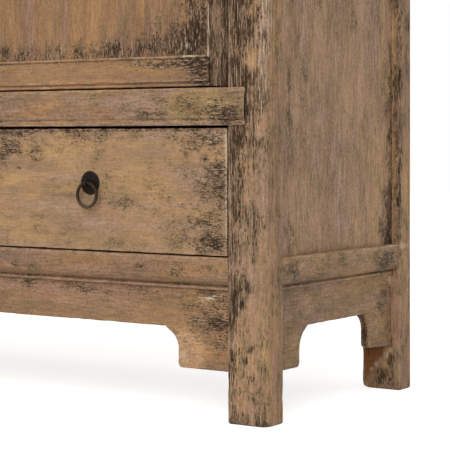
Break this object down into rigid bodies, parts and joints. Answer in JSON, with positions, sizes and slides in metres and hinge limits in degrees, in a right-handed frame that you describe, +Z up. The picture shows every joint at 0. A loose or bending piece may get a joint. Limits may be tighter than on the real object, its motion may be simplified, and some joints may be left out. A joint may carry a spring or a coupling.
{
  "type": "wardrobe",
  "caption": "Tall softwood wardrobe in worn paint, with panelled doors on wooden pivots above drawers, ring pulls, and corner posts that form the legs either side of shaped aprons.",
  "frame": {"origin": "on the floor, under the middle of the top", "axes": "+X to the right seen from the front, +Y to the back, so the doors and drawers face -Y, and +Z up"},
  "size_m": [1.3, 0.54, 1.85],
  "materials": {
    "painted_wood": "thin brown-grey paint, rubbed through and stained",
    "bare_wood": "bare softwood, aged",
    "iron": "dark wrought iron"
  },
  "bodies": {
    "carcase": {"back_panels": "painted_wood", "back_rails": "painted_wood", "cabinet_floor": "bare_wood", "drawer_divider": "painted_wood", "drawer_runners": "bare_wood", "front_apron": "painted_wood", "front_bottom_rail": "painted_wood", "front_middle_rail": "painted_wood", "front_top_rail": "painted_wood", "post_front_left": "painted_wood", "post_front_right": "painted_wood", "post_rear_left": "painted_wood", "post_rear_right": "painted_wood", "shelf": "bare_wood", "side_apron_left": "painted_wood", "side_apron_right": "painted_wood", "side_bearers": "bare_wood", "side_bottom_rail_left": "painted_wood", "side_bottom_rail_right": "painted_wood", "side_panel_left": "painted_wood", "side_panel_right": "painted_wood", "side_top_rail_left": "painted_wood", "side_top_rail_right": "painted_wood", "top_frame_ends": "painted_wood", "top_frame_front": "painted_wood", "top_frame_rear": "painted_wood", "top_panel": "painted_wood"},
    "door_left": {"door_left_battens": "bare_wood", "door_left_bottom_rail": "painted_wood", "door_left_hinge_stile": "painted_wood", "door_left_meeting_stile": "painted_wood", "door_left_panel": "painted_wood", "door_left_pull_eye": "iron", "door_left_pull_plate": "iron", "door_left_top_rail": "painted_wood"},
    "door_left_ring": {"door_left_pull_ring": "iron"},
    "door_right": {"door_right_battens": "bare_wood", "door_right_bottom_rail": "painted_wood", "door_right_hinge_stile": "painted_wood", "door_right_meeting_stile": "painted_wood", "door_right_panel": "painted_wood", "door_right_pull_eye": "iron", "door_right_pull_plate": "iron", "door_right_top_rail": "painted_wood"},
    "door_right_ring": {"door_right_pull_ring": "iron"},
    "drawer_left": {"drawer_left_back": "bare_wood", "drawer_left_bottom": "bare_wood", "drawer_left_front": "painted_wood", "drawer_left_pull_eye": "iron", "drawer_left_pull_plate": "iron", "drawer_left_sides": "bare_wood"},
    "drawer_left_ring": {"drawer_left_pull_ring": "iron"},
    "drawer_right": {"drawer_right_back": "bare_wood", "drawer_right_bottom": "bare_wood", "drawer_right_front": "painted_wood", "drawer_right_pull_eye": "iron", "drawer_right_pull_plate": "iron", "drawer_right_sides": "bare_wood"},
    "drawer_right_ring": {"drawer_right_pull_ring": "iron"}
  },
  "joints": [
    {"name": "door_left_hinge", "type": "hinge", "parent": "carcase", "child": "door_left", "pos_m": [-0.5325, -0.225, 0.513], "axis": [0, 0, -1], "range_deg": [0, 100]},
    {"name": "drawer_left_slide", "type": "slide", "parent": "carcase", "child": "drawer_left", "axis": [0, -1, 0], "range_m": [0, 0.3]},
    {"name": "door_left_ring_hinge", "type": "hinge", "parent": "door_left", "child": "door_left_ring", "pos_m": [-0.0275, -0.247, 1.09], "axis": [-1, 0, 0], "range_deg": [-5, 170]},
    {"name": "drawer_left_ring_hinge", "type": "hinge", "parent": "drawer_left", "child": "drawer_left_ring", "pos_m": [-0.2835, -0.247, 0.36165], "axis": [-1, 0, 0], "range_deg": [-5, 170]},
    {"name": "door_right_hinge", "type": "hinge", "parent": "carcase", "child": "door_right", "pos_m": [0.5325, -0.225, 0.513], "axis": [0, 0, 1], "range_deg": [0, 100]},
    {"name": "drawer_right_slide", "type": "slide", "parent": "carcase", "child": "drawer_right", "axis": [0, -1, 0], "range_m": [0, 0.3]},
    {"name": "door_right_ring_hinge", "type": "hinge", "parent": "door_right", "child": "door_right_ring", "pos_m": [0.0275, -0.247, 1.09], "axis": [-1, 0, 0], "range_deg": [-5, 170]},
    {"name": "drawer_right_ring_hinge", "type": "hinge", "parent": "drawer_right", "child": "drawer_right_ring", "pos_m": [0.2835, -0.247, 0.36165], "axis": [-1, 0, 0], "range_deg": [-5, 170]}
  ]
}
